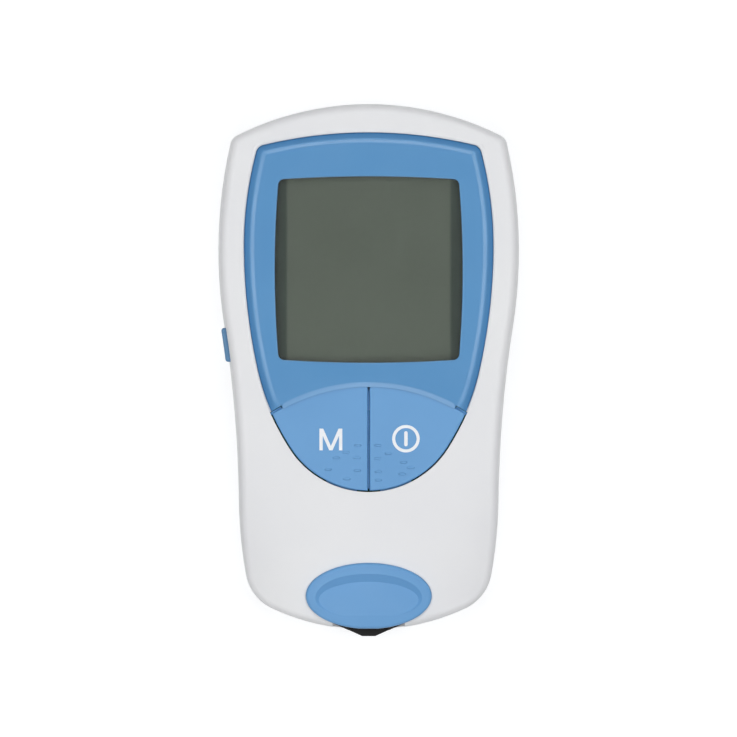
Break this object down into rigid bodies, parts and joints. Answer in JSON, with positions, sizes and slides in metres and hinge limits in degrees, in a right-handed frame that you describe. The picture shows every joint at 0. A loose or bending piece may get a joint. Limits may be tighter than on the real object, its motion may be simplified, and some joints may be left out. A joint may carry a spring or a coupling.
{
  "type": "coagulation meter",
  "caption": "Hand-held blood clotting meter with a large display, two hinged keys, a side button, a hinged measuring chamber cover, a strip guide and a battery door.",
  "frame": {"origin": "centre of the bounding box, at the plane the feet stand on", "axes": "+Z is the way the display faces, +Y runs from the strip guide to the display end, +X to the right seen from above"},
  "size_m": [0.078, 0.138, 0.0279],
  "materials": {
    "housing": "satin",
    "bezel": "satin",
    "key": "soft matt",
    "window": "clear, glossy",
    "lcd": "satin",
    "seal": "matt",
    "inner_plastic": "matt",
    "board": "satin",
    "chip": "matt",
    "connector": "satin",
    "flex": "glossy",
    "guide": "satin",
    "heater": "matt",
    "contact": "bright",
    "spring": "bright",
    "tinted": "glossy",
    "cell": "satin",
    "screw": "satin",
    "foot": "matt"
  },
  "bodies": {
    "case": {"front_housing": "housing", "rear_housing": "housing", "display_bezel": "bezel", "display_window": "window", "display_gasket": "seal", "lcd_glass": "lcd", "lcd_frame": "inner_plastic", "zebra_strips": "seal", "main_board": "board", "board_chips": "chip", "buzzer": "chip", "key_switches": "inner_plastic", "set_switch": "inner_plastic", "measuring_block": "inner_plastic", "heater_plate": "heater", "strip_contacts": "contact", "strip_guide": "guide", "code_chip_socket": "inner_plastic", "code_chip_contacts": "contact", "ir_window": "tinted", "ir_transceiver": "tinted", "sensor_flex": "flex", "flex_connector": "connector", "cell_1": "cell", "cell_2": "cell", "cell_3": "cell", "cell_4": "cell", "battery_springs": "spring", "battery_plates": "spring", "housing_screws": "screw", "rubber_feet": "foot"},
    "key_m": {"key_m": "key", "plunger_m": "connector"},
    "key_power": {"key_power": "key", "plunger_power": "connector"},
    "set_button": {"set_button": "key", "plunger_set": "connector"},
    "chamber_cover": {"chamber_cover": "key"},
    "battery_door": {"battery_door": "housing"}
  },
  "joints": [
    {"name": "key_m_press", "type": "hinge", "parent": "case", "child": "key_m", "pos_m": [-0.01, -0.0085, 0.0216], "axis": [1, 0, 0], "range_deg": [0, 2.2], "stiffness_Nm_per_rad": 0.3, "springref_deg": -1.15},
    {"name": "key_power_press", "type": "hinge", "parent": "case", "child": "key_power", "pos_m": [0.01, -0.0085, 0.0216], "axis": [1, 0, 0], "range_deg": [0, 2.2], "stiffness_Nm_per_rad": 0.3, "springref_deg": -1.15},
    {"name": "set_press", "type": "slide", "parent": "case", "child": "set_button", "axis": [1, 0, 0], "range_m": [0, 0.0008], "stiffness_N_per_m": 600, "springref_m": -0.0005},
    {"name": "chamber_cover_hinge", "type": "hinge", "parent": "case", "child": "chamber_cover", "pos_m": [0, -0.0498, 0.02146], "axis": [-1, 0, 0], "range_deg": [0, 50]},
    {"name": "battery_door_hinge", "type": "hinge", "parent": "case", "child": "battery_door", "pos_m": [0, 0.0451, 0.0006], "axis": [1, 0, 0], "range_deg": [0, 60]}
  ]
}
